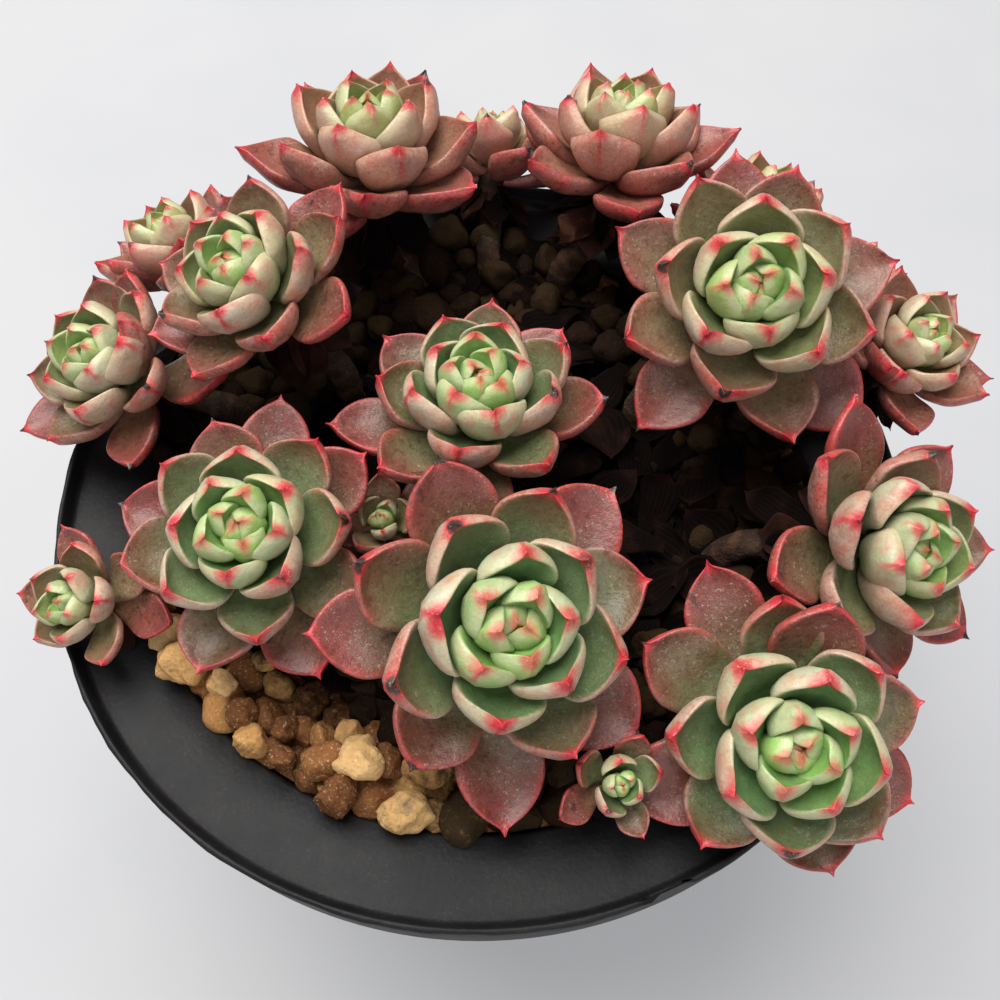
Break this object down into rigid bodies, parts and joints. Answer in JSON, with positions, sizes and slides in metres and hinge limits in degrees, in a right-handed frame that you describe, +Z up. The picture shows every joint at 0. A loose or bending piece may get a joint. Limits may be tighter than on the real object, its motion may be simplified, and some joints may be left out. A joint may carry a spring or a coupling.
{
  "type": "potted echeveria",
  "caption": "Clump of echeveria rosettes on short woody stems, in a round charcoal pot with a wide collar, dark soil and a ring of ochre gravel.",
  "frame": {"origin": "centre of the pot's flat base, on the surface it stands on", "axes": "+Z up out of the pot, -Y towards the side that the picture was taken from, +X to the right as seen from there"},
  "size_m": [0.2082, 0.1917, 0.1727],
  "materials": {
    "pot_plastic": "satin charcoal moulded plastic, a little dusty, paler on the lip",
    "soil": "dark moist substrate with old leaf litter, stands in for soil",
    "gravel": "rough ochre, cream and orange-brown baked clay grains, stands in for stone",
    "leaf": "fleshy leaf with a powdery bloom, green inside, dusky pink outside, red margins and tips"
  },
  "bodies": {
    "root": {"pot": "pot_plastic", "soil": "soil", "gravel": "gravel", "rosette_front": "leaf", "rosette_front_right": "leaf", "rosette_front_left": "leaf", "rosette_centre": "leaf", "rosette_right": "leaf", "rosette_left": "leaf", "rosette_right_front": "leaf", "rosette_left_low": "leaf", "rosette_back_left": "leaf", "rosette_back_right": "leaf", "rosette_left_small": "leaf", "rosette_right_back": "leaf", "rosette_far_right": "leaf", "rosette_far_left": "leaf", "rosette_right_low": "leaf", "rosette_back_low": "leaf", "rosette_bud_front": "leaf", "rosette_bud_middle": "leaf"}
  },
  "joints": []
}
